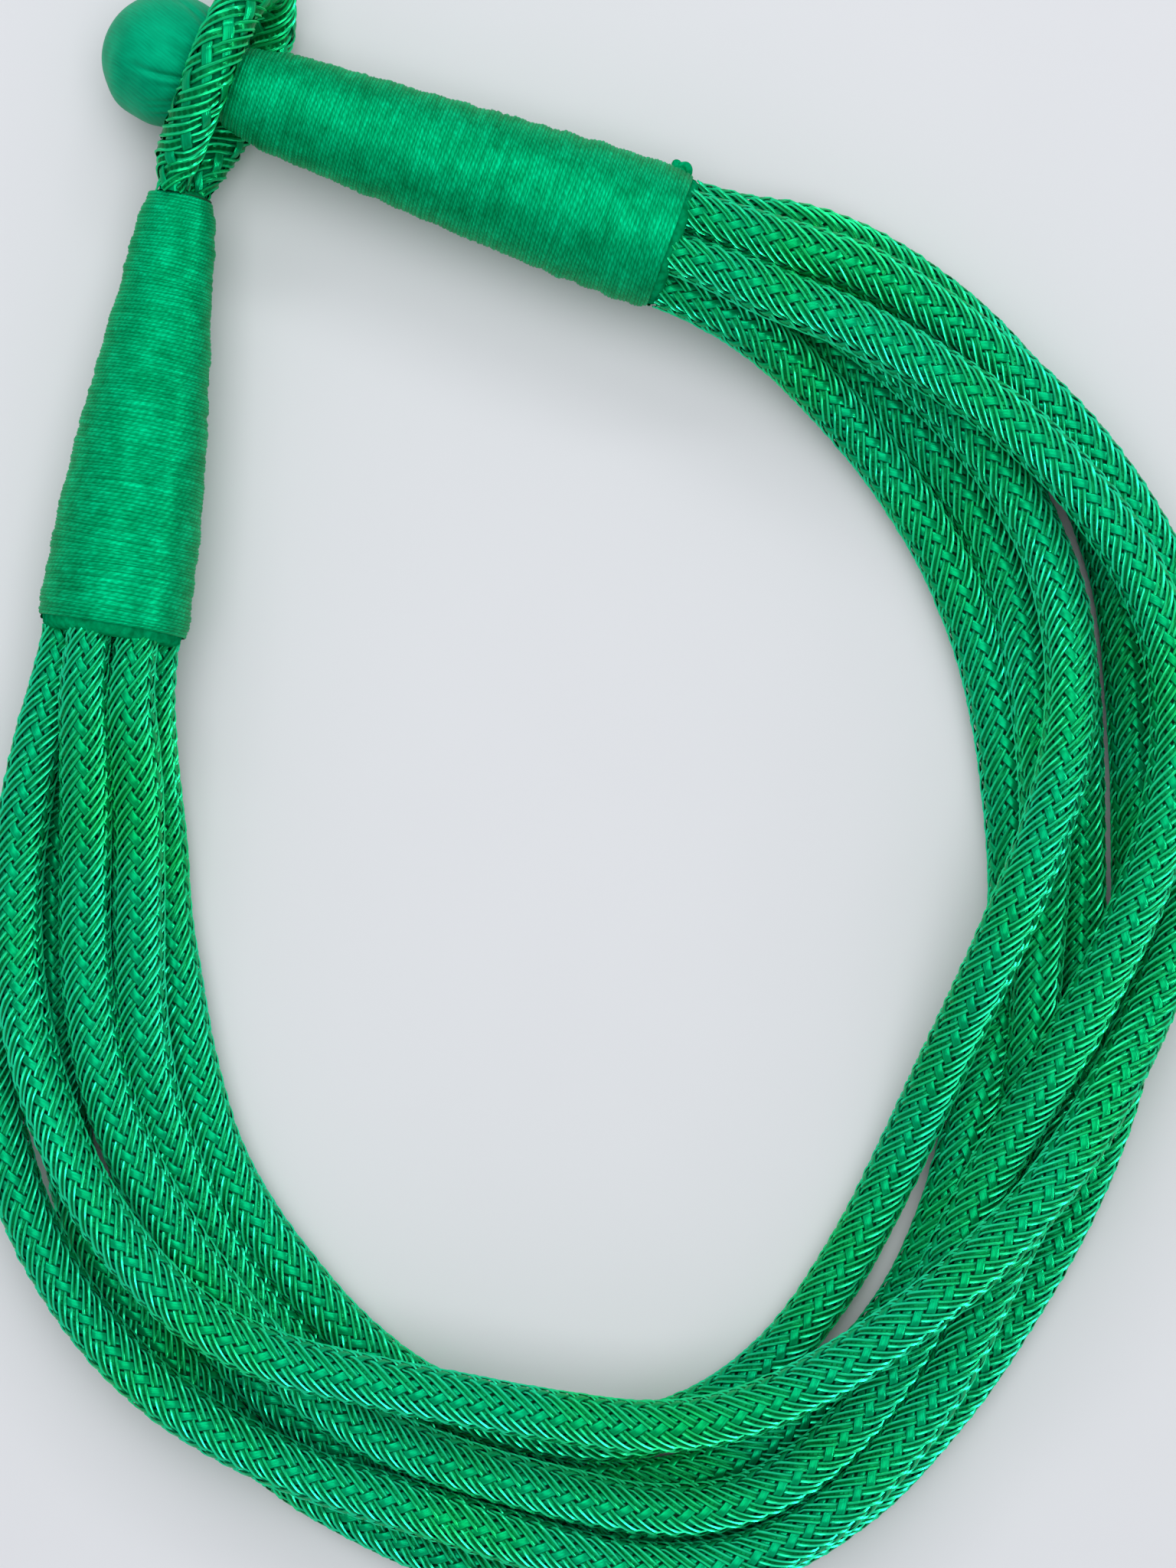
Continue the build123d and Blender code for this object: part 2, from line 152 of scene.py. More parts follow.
STRAND_3_ROUTE = [
    (0.0126, 0.0823, 0.0114), (0.0206, 0.0795, 0.0115), (0.0283, 0.0760, 0.0114),
    (0.0369, 0.0715, 0.0116), (0.0479, 0.0629, 0.0116), (0.0577, 0.0533, 0.0118),
    (0.0657, 0.0417, 0.0125), (0.0704, 0.0295, 0.0145), (0.0717, 0.0168, 0.0170),
    (0.0703, 0.0036, 0.0188), (0.0657, -0.0106, 0.0190), (0.0599, -0.0250, 0.0160),
    (0.0538, -0.0394, 0.0100), (0.0479, -0.0535, 0.0050), (0.0415, -0.0670, 0.0040),
    (0.0345, -0.0787, 0.0040), (0.0263, -0.0886, 0.0040), (0.0152, -0.0959, 0.0040),
    (0.0029, -0.0993, 0.0040), (-0.0099, -0.0978, 0.0040), (-0.0228, -0.0934, 0.0040),
    (-0.0333, -0.0869, 0.0040), (-0.0421, -0.0781, 0.0040), (-0.0502, -0.0678, 0.0040),
    (-0.0567, -0.0571, 0.0040), (-0.0608, -0.0442, 0.0040), (-0.0632, -0.0314, 0.0040),
    (-0.0654, -0.0173, 0.0040), (-0.0662, -0.0033, 0.0042), (-0.0671, 0.0054, 0.0070),
    (-0.0670, 0.0141, 0.0102), (-0.0657, 0.0225, 0.0102),
]
STRAND_4_ROUTE = [
    (0.0135, 0.0846, 0.0048), (0.0215, 0.0817, 0.0047), (0.0303, 0.0788, 0.0041),
    (0.0394, 0.0744, 0.0040), (0.0506, 0.0651, 0.0040), (0.0602, 0.0540, 0.0040),
    (0.0674, 0.0411, 0.0040), (0.0721, 0.0271, 0.0040), (0.0740, 0.0131, 0.0040),
    (0.0742, -0.0021, 0.0040), (0.0745, -0.0173, 0.0040), (0.0740, -0.0302, 0.0040),
    (0.0740, -0.0429, 0.0055), (0.0709, -0.0548, 0.0098), (0.0641, -0.0662, 0.0110),
    (0.0589, -0.0771, 0.0114), (0.0534, -0.0886, 0.0116), (0.0451, -0.1004, 0.0116),
    (0.0343, -0.1108, 0.0116), (0.0216, -0.1168, 0.0116), (0.0087, -0.1177, 0.0116),
    (-0.0040, -0.1152, 0.0116), (-0.0179, -0.1111, 0.0116), (-0.0306, -0.1071, 0.0116),
    (-0.0427, -0.1034, 0.0116), (-0.0536, -0.0984, 0.0116), (-0.0638, -0.0923, 0.0116),
    (-0.0727, -0.0842, 0.0116), (-0.0799, -0.0748, 0.0116), (-0.0854, -0.0644, 0.0116),
    (-0.0889, -0.0535, 0.0110), (-0.0916, -0.0427, 0.0080), (-0.0925, -0.0313, 0.0050),
    (-0.0906, -0.0173, 0.0040), (-0.0875, -0.0045, 0.0040), (-0.0832, 0.0072, 0.0046),
    (-0.0784, 0.0158, 0.0060), (-0.0771, 0.0242, 0.0060),
]
STRAND_5_ROUTE = [
    (0.0111, 0.0780, 0.0060), (0.0191, 0.0752, 0.0058), (0.0269, 0.0726, 0.0044),
    (0.0345, 0.0689, 0.0040), (0.0459, 0.0584, 0.0040), (0.0569, 0.0458, 0.0040),
    (0.0642, 0.0307, 0.0055), (0.0667, 0.0153, 0.0085), (0.0683, 0.0014, 0.0108),
    (0.0682, -0.0125, 0.0112), (0.0669, -0.0258, 0.0110), (0.0667, -0.0398, 0.0089),
    (0.0644, -0.0524, 0.0040), (0.0616, -0.0658, 0.0040), (0.0565, -0.0781, 0.0040),
    (0.0492, -0.0898, 0.0040), (0.0396, -0.0991, 0.0040), (0.0292, -0.1073, 0.0040),
    (0.0175, -0.1125, 0.0040), (0.0047, -0.1139, 0.0040), (-0.0082, -0.1134, 0.0040),
    (-0.0204, -0.1104, 0.0040), (-0.0315, -0.1052, 0.0040), (-0.0417, -0.0984, 0.0040),
    (-0.0520, -0.0898, 0.0040), (-0.0608, -0.0787, 0.0040), (-0.0666, -0.0676, 0.0040),
    (-0.0707, -0.0559, 0.0040), (-0.0728, -0.0430, 0.0040), (-0.0738, -0.0302, 0.0040),
    (-0.0742, -0.0173, 0.0040), (-0.0734, -0.0033, 0.0040), (-0.0728, 0.0066, 0.0042),
    (-0.0716, 0.0147, 0.0048), (-0.0703, 0.0231, 0.0048),
]
STRAND_6_ROUTE = [
    (0.0149, 0.0889, 0.0102), (0.0229, 0.0861, 0.0101), (0.0333, 0.0848, 0.0088),
    (0.0432, 0.0814, 0.0045), (0.0579, 0.0713, 0.0040), (0.0690, 0.0580, 0.0040),
    (0.0766, 0.0434, 0.0040), (0.0808, 0.0288, 0.0040), (0.0822, 0.0142, 0.0040),
    (0.0829, -0.0010, 0.0040), (0.0831, -0.0150, 0.0040), (0.0826, -0.0290, 0.0040),
    (0.0810, -0.0419, 0.0040), (0.0775, -0.0536, 0.0040), (0.0721, -0.0658, 0.0040),
    (0.0655, -0.0775, 0.0040), (0.0583, -0.0886, 0.0040), (0.0502, -0.0991, 0.0040),
    (0.0406, -0.1087, 0.0040), (0.0289, -0.1164, 0.0040), (0.0164, -0.1202, 0.0040),
    (0.0029, -0.1213, 0.0040), (-0.0105, -0.1206, 0.0040), (-0.0234, -0.1167, 0.0040),
    (-0.0350, -0.1113, 0.0040), (-0.0460, -0.1050, 0.0040), (-0.0560, -0.0961, 0.0040),
    (-0.0646, -0.0860, 0.0040), (-0.0724, -0.0758, 0.0040), (-0.0783, -0.0647, 0.0040),
    (-0.0807, -0.0524, 0.0040), (-0.0817, -0.0395, 0.0040), (-0.0821, -0.0255, 0.0040),
    (-0.0817, -0.0115, 0.0040), (-0.0799, -0.0015, 0.0052), (-0.0769, 0.0074, 0.0100),
    (-0.0739, 0.0152, 0.0114), (-0.0726, 0.0236, 0.0114),
]
STRAND_7_ROUTE = [
    (0.0102, 0.0757, 0.0127), (0.0182, 0.0729, 0.0127), (0.0272, 0.0674, 0.0095),
    (0.0337, 0.0615, 0.0075), (0.0412, 0.0539, 0.0050), (0.0523, 0.0385, 0.0040),
    (0.0587, 0.0233, 0.0040), (0.0623, 0.0084, 0.0040), (0.0637, -0.0056, 0.0040),
    (0.0644, -0.0185, 0.0040), (0.0632, -0.0302, 0.0040), (0.0602, -0.0413, 0.0040),
    (0.0567, -0.0536, 0.0040), (0.0530, -0.0664, 0.0040), (0.0476, -0.0781, 0.0040),
    (0.0396, -0.0879, 0.0040), (0.0310, -0.0966, 0.0040), (0.0211, -0.1031, 0.0040),
    (0.0094, -0.1063, 0.0040), (-0.0023, -0.1067, 0.0040), (-0.0140, -0.1047, 0.0040),
    (-0.0251, -0.1005, 0.0040), (-0.0356, -0.0947, 0.0040), (-0.0443, -0.0860, 0.0040),
    (-0.0524, -0.0776, 0.0045), (-0.0586, -0.0668, 0.0060), (-0.0636, -0.0562, 0.0070),
    (-0.0671, -0.0450, 0.0085), (-0.0685, -0.0322, 0.0105), (-0.0685, -0.0183, 0.0116),
    (-0.0683, -0.0050, 0.0126), (-0.0687, 0.0054, 0.0150), (-0.0695, 0.0146, 0.0169),
    (-0.0681, 0.0230, 0.0168),
]
LOOP_ROUTE = [
    (-0.0632, 0.0899, 0.0136), (-0.0625, 0.0944, 0.0136), (-0.0601, 0.0995, 0.0186),
    (-0.0572, 0.1052, 0.0220), (-0.0551, 0.1107, 0.0220), (-0.0529, 0.1160, 0.0204),
    (-0.0503, 0.1208, 0.0164), (-0.0483, 0.1213, 0.0088), (-0.0488, 0.1154, 0.0042),
    (-0.0518, 0.1072, 0.0037), (-0.0556, 0.1000, 0.0042), (-0.0599, 0.0943, 0.0066),
    (-0.0607, 0.0894, 0.0068),
]


# ---------------------------------------------------------------- helpers
def smoothstep(x, low, high):
    t = np.clip((x - low) / (high - low), 0.0, 1.0)
    return t * t * (3.0 - 2.0 * t)


class Wobble:
    """Smooth seeded noise of one or two variables, as a sum of sines."""

    def __init__(self, seed, wavelength, terms=7, round_terms=3):
        rng = np.random.default_rng(seed)
        self.rates = 2.0 * np.pi / wavelength * rng.uniform(0.45, 1.6, terms)
        self.turns = rng.integers(-round_terms, round_terms + 1, terms)
        self.phases = rng.uniform(0.0, 2.0 * np.pi, terms)

    def __call__(self, along, angle=0.0):
        total = 0.0
        for rate, turn, phase in zip(self.rates, self.turns, self.phases):
            total = total + np.sin(along * rate + angle * turn + phase)
        return total / math.sqrt(len(self.rates) / 2.0) / 1.4


def mesh_piece(name, points, quads, uvs=None, sharp_angle=None):
    """A mesh object from arrays of points and four-cornered faces, with one UV pair per corner."""
    mesh = bpy.data.meshes.new(name)
    points = np.asarray(points, dtype=np.float32)
    quads = np.asarray(quads, dtype=np.int32)
    mesh.vertices.add(len(points))
    mesh.vertices.foreach_set("co", points.ravel())
    mesh.loops.add(quads.size)
    mesh.loops.foreach_set("vertex_index", quads.ravel())
    mesh.polygons.add(len(quads))
    mesh.polygons.foreach_set("loop_start", np.arange(0, quads.size, 4, dtype=np.int32))
    mesh.polygons.foreach_set("use_smooth", np.ones(len(quads), dtype=bool))
    if uvs is not None:
        layer = mesh.uv_layers.new(name="UVMap")
        layer.data.foreach_set("uv", np.asarray(uvs, dtype=np.float32).ravel())
    mesh.update(calc_edges=True)
    mesh.validate()
    if sharp_angle is not None:
        mesh.set_sharp_from_angle(angle=math.radians(sharp_angle))
    piece = bpy.data.objects.new(name, mesh)
    bpy.context.scene.collection.objects.link(piece)
    return piece


def ring_quads(rings, around):
    """Faces that join rings of points, each ring to the next."""
    i = np.arange(rings - 1)[:, None] * around
    j = np.arange(around)[None, :]
    k = (j + 1) % around
    return np.stack([i + j, i + k, i + around + k, i + around + j], axis=2).reshape(-1, 4)


def spline_points(route):
    """Points along the smooth NURBS line that has the route's points as its control points."""
    curve = bpy.data.curves.new("route", "CURVE")
    curve.dimensions = "3D"
    curve.resolution_u = 24
    spline = curve.splines.new("NURBS")
    spline.points.add(len(route) - 1)
    for point, place in zip(spline.points, route):
        point.co = (*place, 1.0)
    spline.order_u = 3
    spline.use_endpoint_u = True
    holder = bpy.data.objects.new("route", curve)
    line = bpy.data.meshes.new_from_object(holder)
    points = np.array([vertex.co[:] for vertex in line.vertices])
    bpy.data.objects.remove(holder)
    bpy.data.curves.remove(curve)
    bpy.data.meshes.remove(line)
    return points


def even_line(points, step):
    """The same line with its points about one step apart, and the distance along it to each."""
    gaps = np.linalg.norm(np.diff(points, axis=0), axis=1)
    points = points[np.concatenate([[True], gaps > 1e-9])]
    travelled = np.concatenate([[0.0], np.cumsum(np.linalg.norm(np.diff(points, axis=0), axis=1))])
    along = np.linspace(0.0, travelled[-1], int(travelled[-1] / step) + 1)
    line = np.stack([np.interp(along, travelled, points[:, axis]) for axis in range(3)], axis=1)
    return line, along


def line_frames(line):
    """Tangents and two directions across the line that don't turn about it."""
    tangents = np.gradient(line, axis=0)
    tangents /= np.linalg.norm(tangents, axis=1)[:, None]
    sides = np.empty_like(tangents)
    side = np.cross(tangents[0], (0.0, 0.0, 1.0))
    for index, tangent in enumerate(tangents):
        side = side - tangent * side.dot(tangent)
        side /= np.linalg.norm(side)
        sides[index] = side
    return tangents, sides, np.cross(tangents, sides)


# ---------------------------------------------------------------- braided cords
RAILED_PROFILE = [(-0.5, 0.0), (-0.37, 1.0), (-0.2, 0.12), (0.2, 0.12), (0.37, 1.0), (0.5, 0.0)]
FLAT_PROFILE = [(-0.5, 0.0), (-0.36, 0.5), (0.36, 0.5), (0.5, 0.0)]
FLAT_UV = 2.0                    # added to the flat ribbons' U, so the material can tell them apart
UV_STRIDE = 37.0                 # keeps the ribbons' streaks different from each other


def braid(name, line, along, radii, seed, carriers, lead, twist):
    """The mesh sleeve: railed ribbons one way, over three and under one, and flat ones the other way."""
    tangents, sides, ups = line_frames(line)
    count = len(line)
    crossing = lead / (2 * carriers)
    rng = np.random.default_rng(seed)
    vertices = 0
    all_points, all_quads, all_uvs = [], [], []
    drift = Wobble(seed + 50, 60.0 * MM)(along) * BRAID_DRIFT
    squeeze = 1.0 + CORD_UNEVENNESS * Wobble(seed + 60, 25.0 * MM)(along)
    for way in (1, -1):
        profile = np.array(RAILED_PROFILE if way == 1 else FLAT_PROFILE)
        corners = len(profile)
        for carrier in range(carriers):
            offset = rng.normal(0.0, RIBBON_SCATTER)
            turns = way * along / lead + twist * along + carrier / carriers
            angle = 2.0 * np.pi * turns + way * (offset + drift)
            phase = (2 * carrier + way * along / crossing - 3.0) % 4.0
            from_dip = np.minimum(phase, 4.0 - phase)
            wave = way * (2.0 * smoothstep(from_dip, 0.15, 1.0) - 1.0)
            radius = radii * squeeze - WEAVE_HEIGHT - RIM_HEIGHT + WEAVE_HEIGHT * wave
            outward = sides * np.cos(angle)[:, None] + ups * np.sin(angle)[:, None]
            middle = line + outward * radius[:, None]
            heading = np.gradient(middle, axis=0)
            heading /= np.linalg.norm(heading, axis=1)[:, None]
            across = np.cross(heading, outward)
            across /= np.linalg.norm(across, axis=1)[:, None]
            tilt = rng.normal(0.0, RIBBON_UNEVENNESS)
            tilt = tilt + RIBBON_UNEVENNESS * Wobble(seed * 31 + carrier * 2 + way, 9.0 * MM)(along)
            # A squeezed cord has narrower ribbons, and a braid of fewer carriers wider ones
            width = RIBBON_WIDTH * (radii / radii.max()) ** 0.8 * (CARRIERS / carriers) ** 0.45
            wander = Wobble(seed * 17 + carrier * 2 + way, 14.0 * MM)(along)
            width = width * (1.0 + RIBBON_UNEVENNESS * wander)
            rings = np.empty((count, corners, 3))
            for corner, (share, height) in enumerate(profile):
                lift = height * RIM_HEIGHT + tilt * share * width
                rings[:, corner] = middle + across * (share * width)[:, None] + outward * lift[:, None]
            base = vertices
            vertices += count * corners
            all_points.append(rings.reshape(-1, 3))
            first = base + np.arange(count - 1)[:, None] * corners + np.arange(corners)[None, :]
            next_corner = (np.arange(corners)[None, :] + 1) % corners
            second = base + np.arange(count - 1)[:, None] * corners + next_corner
            quads = np.stack([first, second, second + corners, first + corners], axis=2)
            all_quads.append(quads.reshape(-1, 4))
            shares = np.append(profile[:, 0] + 0.5, 1.0)
            if way == -1:
                shares = FLAT_UV + shares
            low = np.broadcast_to(shares[None, :corners], (count - 1, corners))
            high = np.broadcast_to(shares[None, 1:corners + 1], (count - 1, corners))
            here = np.broadcast_to(along[:-1, None] / MM, (count - 1, corners)) + UV_STRIDE * carrier
            there = np.broadcast_to(along[1:, None] / MM, (count - 1, corners)) + UV_STRIDE * carrier
            pairs = ((low, here), (high, here), (high, there), (low, there))
            all_uvs.append(np.stack([np.stack(pair, 2) for pair in pairs], axis=2).reshape(-1, 2))
    return mesh_piece(name, np.concatenate(all_points), np.concatenate(all_quads),
                      np.concatenate(all_uvs), sharp_angle=62)


def tube(name, line, radii, around=20):
    """A round tube along a line, for the filler cores and the knot's thread."""
    tangents, sides, ups = line_frames(line)
    angles = np.linspace(0.0, 2.0 * np.pi, around, endpoint=False)
    rings = (line[:, None, :]
             + radii[:, None, None] * (sides[:, None, :] * np.cos(angles)[None, :, None]
                                       + ups[:, None, :] * np.sin(angles)[None, :, None]))
    return mesh_piece(name, rings.reshape(-1, 3), ring_quads(len(line), around))


def make_cord(name, route, radius, seed, squeeze, carriers=CARRIERS, lead=BRAID_LEAD, twist=0.0):
    """A mesh sleeve and its filler core on one route, both narrower at the ends."""
    fine = spline_points(route)
    line, along = even_line(fine, STRAND_STEP)
    from_end = np.minimum(along, along[-1] - along)
    left, run = squeeze
    radii = radius * (left + (1.0 - left) * smoothstep(from_end, 1.0 * MM, run))
    sleeve = braid(f"{name}_mesh", line, along, radii, seed, carriers, lead, twist)
    coarse = slice(0, None, 3)
    core = tube(f"{name}_filler", line[coarse], radii[coarse] * CORE_RADIUS / CORD_RADIUS)
    for piece, slot, node in ((sleeve, "mesh_cord", f"{name}_sleeve"), (core, "cord_core", f"{name}_core")):
        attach(piece, "necklace")
        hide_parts(node)
    return sleeve, core, line


# Each strand's route and its real length in metres
STRANDS = [
    (STRAND_1_ROUTE, 0.447), (STRAND_2_ROUTE, 0.442), (STRAND_3_ROUTE, 0.397), (STRAND_4_ROUTE, 0.469),
    (STRAND_5_ROUTE, 0.433), (STRAND_6_ROUTE, 0.482), (STRAND_7_ROUTE, 0.404),
]
sleeves, cores = [], []
for number, (route, real_length) in enumerate(STRANDS, start=1):
    sleeve, core, line = make_cord(f"strand_{number}", route, CORD_RADIUS, 100 * number, STRAND_SQUEEZE)
    sleeves.append(sleeve)
    cores.append(core)
sleeve, core, line = make_cord("clasp_loop", LOOP_ROUTE, LOOP_RADIUS, 900, LOOP_SQUEEZE,
                               LOOP_CARRIERS, LOOP_LEAD, LOOP_TWIST)
sleeves.append(sleeve)
cores.append(core)


# ---------------------------------------------------------------- whipped ends
def end_axes(narrow, mouth):
    """Unit vectors along the whipping and two across it, the second one pointing up."""
    along = (mouth - narrow).normalized()
    side = along.cross(Vector((0, 0, 1))).normalized()
    return along, side, side.cross(along)


def place(origin, axes, along, angle, radius):
    """Points from distances along the axis, angles about it and radii."""
    a, b, c = (np.array(v[:]) for v in axes)
    across = np.cos(angle)[..., None] * b + np.sin(angle)[..., None] * c
    return np.array(origin[:]) + along[..., None] * a + radius[..., None] * across


def wound_thread(name, narrow, mouth, stations, seed):
    """One thread wound turn beside turn over a whole end, each turn a rounded ridge."""
    axes = end_axes(narrow, mouth)
    length = (mouth - narrow).length
    shares = np.array([share for share, _ in stations])
    radii = np.array([radius for _, radius in stations]) * MM
    around, corners = 60, 4
    turns = int(length / THREAD_PITCH) - 1
    rows = (turns + 1) * around + 1
    crowding = Wobble(seed, 2.2, terms=9, round_terms=1)
    slant = Wobble(seed + 1, 26.0, terms=6, round_terms=1)
    swell = Wobble(seed + 2, 11.0, terms=8, round_terms=2)
    ripple = Wobble(seed + 3, 3.1, terms=9, round_terms=3)
    row = np.arange(rows)
    across = np.linspace(-1.0, 1.0, corners + 1)[:-1]
    turn = row[:, None] / around + across[None, :] / 2.0 + 0.5
    angle = np.broadcast_to((2.0 * np.pi * row / around)[:, None], turn.shape)
    shift = TURN_CROWDING * crowding(turn, angle) + TURN_SLANT * slant(turn, angle) * smoothstep(turn, 0, 8)
    shift = shift * smoothstep(turns - turn, -1.0, 6.0)
    distance = np.clip(THREAD_PITCH * (turn + shift), 0.0, length)
    crown = THREAD_CROWN * np.sqrt(np.clip(1.0 - across**2, 0.0, 1.0))[None, :]
    radius = np.interp(distance / length, shares, radii)
    radius = radius + WINDING_SWELL * swell(turn, angle) + WINDING_RIPPLE * ripple(turn, angle)
    radius = radius + crown - THREAD_CROWN
    points = place(narrow, axes, distance, angle, radius).reshape(-1, 3)
    i = np.arange(turns * around)[:, None]
    j = np.arange(corners)[None, :]
    near = i * corners + j
    far = np.where(j < corners - 1, i * corners + j + 1, (i + around) * corners)
    near_next = (i + 1) * corners + j
    far_next = np.where(j < corners - 1, near_next + 1, (i + 1 + around) * corners)
    quads = np.stack([near, near_next, far_next, far], axis=2).reshape(-1, 4)
    step = 2.0 * np.pi * WINDING_MEAN_RADIUS / around
    v0, v1 = np.broadcast_to(i * step, near.shape), np.broadcast_to((i + 1) * step, near.shape)
    u0, u1 = np.broadcast_to(j / corners, near.shape), np.broadcast_to((j + 1) / corners, near.shape)
    pairs = ((u0, v0), (u0, v1), (u1, v1), (u1, v0))
    uv = np.stack([np.stack(pair, 2) for pair in pairs], 2)
    used = np.unique(quads)
    lookup = np.zeros(len(points), dtype=np.int64)
    lookup[used] = np.arange(len(used))
    return mesh_piece(name, points[used], lookup[quads], uv.reshape(-1, 2))


def lathe(name, origin, axes, outline, around=72):
    """A surface turned about an end's axis from (distance, radius) pairs in millimetres."""
    outline = np.array(outline) * MM
    angles = np.linspace(0.0, 2.0 * np.pi, around, endpoint=False)
    distance = np.broadcast_to(outline[:, :1], (len(outline), around))
    radius = np.broadcast_to(outline[:, 1:], (len(outline), around))
    points = place(origin, axes, distance, np.broadcast_to(angles, distance.shape), radius).reshape(-1, 3)
    return mesh_piece(name, points, ring_quads(len(outline), around))


# The bundle's outline in millimetres. At the narrow ends, as (distance, radius), a hollow for the shank or a
# plug between the loop's legs; at the mouths, as (distance past the mouth, inset from its radius), a lip
AXIS_RADIUS = 0.05
SHANK_BORE = [(3.2, AXIS_RADIUS), (3.2, 2.6), (0.4, 2.6)]
LEG_PLUG = [(-0.8, AXIS_RADIUS), (-0.8, 3.2), (0.0, 4.2)]
BUNDLE_LIP = [(-0.5, 0.4), (0.1, 0.5), (0.6, 0.9), (0.9, 1.7)]


def whipped_end(label, narrow, mouth, stations, hollow, seed):
    """The wound thread and, inside it, the bundle of squeezed cord ends that it holds."""
    thread = wound_thread(f"{label}_thread", narrow, mouth, stations, seed)
    axes = end_axes(narrow, mouth)
    length = (mouth - narrow).length / MM
    outer = [(share * length, radius - BUNDLE_INSET) for share, radius in stations]
    start, lip = outer[0][1], stations[-1][1]
    outline = hollow + [(0.25, start - 0.5), (0.6, start)] + outer[1:-1]
    outline += [(length + past, lip - inset) for past, inset in BUNDLE_LIP]
    outline += [(outline[-1][0], AXIS_RADIUS)]
    bundle = lathe(f"{label}_bundle", narrow, axes, outline)
    for piece, slot, node in ((thread, "winding_thread", f"{label}_whipping"),
                              (bundle, "cord_core", f"{label}_gathered_strands")):
        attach(piece, "necklace")
        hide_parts(node)
    return thread, bundle


button_thread, button_bundle = whipped_end("button_end", BUTTON_NARROW, BUTTON_MOUTH, BUTTON_STATIONS,
                                           SHANK_BORE, 11)
loop_thread, loop_bundle = whipped_end("loop_end", LOOP_NARROW, LOOP_MOUTH, LOOP_STATIONS, LEG_PLUG, 23)


def thread_knot(name, node):
    """The small knot that ends the winding, a trefoil of thread sunk a little into the turns."""
    low, high = (np.array(corner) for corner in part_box(node))
    out = (low + high) / 2.0 - np.array(BUTTON_MOUTH[:])
    axis = np.array(end_axes(BUTTON_NARROW, BUTTON_MOUTH)[0][:])
    out = out - axis * out.dot(axis)
    out = out / np.linalg.norm(out)
    t = np.linspace(0.1, 2.0 * np.pi - 0.1, 110)
    shape = np.stack([np.sin(t) + 2.0 * np.sin(2.0 * t),
                      np.cos(t) - 2.0 * np.cos(2.0 * t),
                      -1.3 * np.sin(3.0 * t)])[:, :, None]
    across = np.cross(axis, out)
    line = (low + high) / 2.0 - out * KNOT_SUNK - axis * KNOT_BACK
    line = line + (shape[0] * axis + shape[1] * across + shape[2] * out) * KNOT_SPREAD
    return tube(name, line, np.full(len(t), KNOT_THREAD), around=16)


knot = thread_knot("winding_knot", "whipping_knot")
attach(knot, "necklace")
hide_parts("whipping_knot")


# ---------------------------------------------------------------- ball button
# The longest folds: angle about the neck, then where each begins, its depth and its width in millimetres
FOLD_LINES = [(1.15, 13.0, 0.42, 0.55), (1.75, 17.0, 0.40, 0.6), (2.5, 14.0, 0.36, 0.7),
              (0.5, 16.0, 0.34, 0.6)]


def ball_cover(name):
    """Satin pulled over the ball and gathered into folds that run into its neck."""
    axes = end_axes(BUTTON_CENTRE, BUTTON_NARROW)
    ball = BALL_RADIUS / MM
    neck_end = (BUTTON_NARROW - BUTTON_CENTRE).length / MM + NECK_OVERLAP
    polar = np.radians(np.concatenate([np.linspace(0.5, 100, 84), np.linspace(101, 151, 64)]))
    outline = [(-ball * math.cos(a), ball * math.sin(a)) for a in polar]
    neck = np.array(NECK_PROFILE + [(neck_end, NECK_END_RADIUS)])
    steps = np.linspace(0, len(neck) - 1, 64)[1:]
    neck_line = np.stack([np.interp(steps, range(len(neck)), neck[:, column]) for column in (0, 1)], axis=1)
    outline = np.concatenate([outline, neck_line])
    around = 288
    angle = np.linspace(0.0, 2.0 * np.pi, around, endpoint=False)[None, :]
    travelled = np.concatenate([[0.0], np.cumsum(np.linalg.norm(np.diff(outline, axis=0), axis=1))])[:, None]
    rng = np.random.default_rng(5)
    depth = np.zeros((len(outline), around))
    for fold in range(SATIN_FOLDS):
        centre = 2.0 * np.pi * (fold + rng.uniform(-0.3, 0.3)) / SATIN_FOLDS
        begins = rng.uniform(*FOLD_BEGINS)
        drift = rng.uniform(-0.012, 0.012) * (travelled - 25.0)
        gap = (angle - centre - drift + np.pi) % (2.0 * np.pi) - np.pi
        radius_here = np.maximum(outline[:, 1:], 2.4)
        narrow = np.exp(-(gap * radius_here / rng.uniform(*FOLD_WIDTH)) ** 2)
        depth += rng.uniform(*FOLD_DEPTH) * narrow * smoothstep(travelled, begins, FOLD_FULL)
    for centre, begins, strength, width in FOLD_LINES:
        gap = (angle - centre + np.pi) % (2.0 * np.pi) - np.pi
        radius_here = np.maximum(outline[:, 1:], 2.4)
        narrow = np.exp(-(gap * radius_here / width) ** 2)
        depth += strength * narrow * smoothstep(travelled, begins, begins + 6.0)
    swell = 0.10 * Wobble(8, 9.0, round_terms=3)(travelled, angle)
    radius = (outline[:, 1:] - depth + swell * smoothstep(travelled, 3.0, 12.0)) * MM
    distance = np.broadcast_to(outline[:, :1] * MM, radius.shape)
    points = place(BUTTON_CENTRE, axes, distance, np.broadcast_to(angle, radius.shape), radius).reshape(-1, 3)
    return mesh_piece(name, points, ring_quads(len(outline), around))


cover = ball_cover("button_satin")
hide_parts("button_cover")
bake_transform(cover)


# ---------------------------------------------------------------- materials
PLY_LENGTH = 0.9                 # millimetres of thread for one turn of its plies
TWILL_PITCH = 0.52 * MM


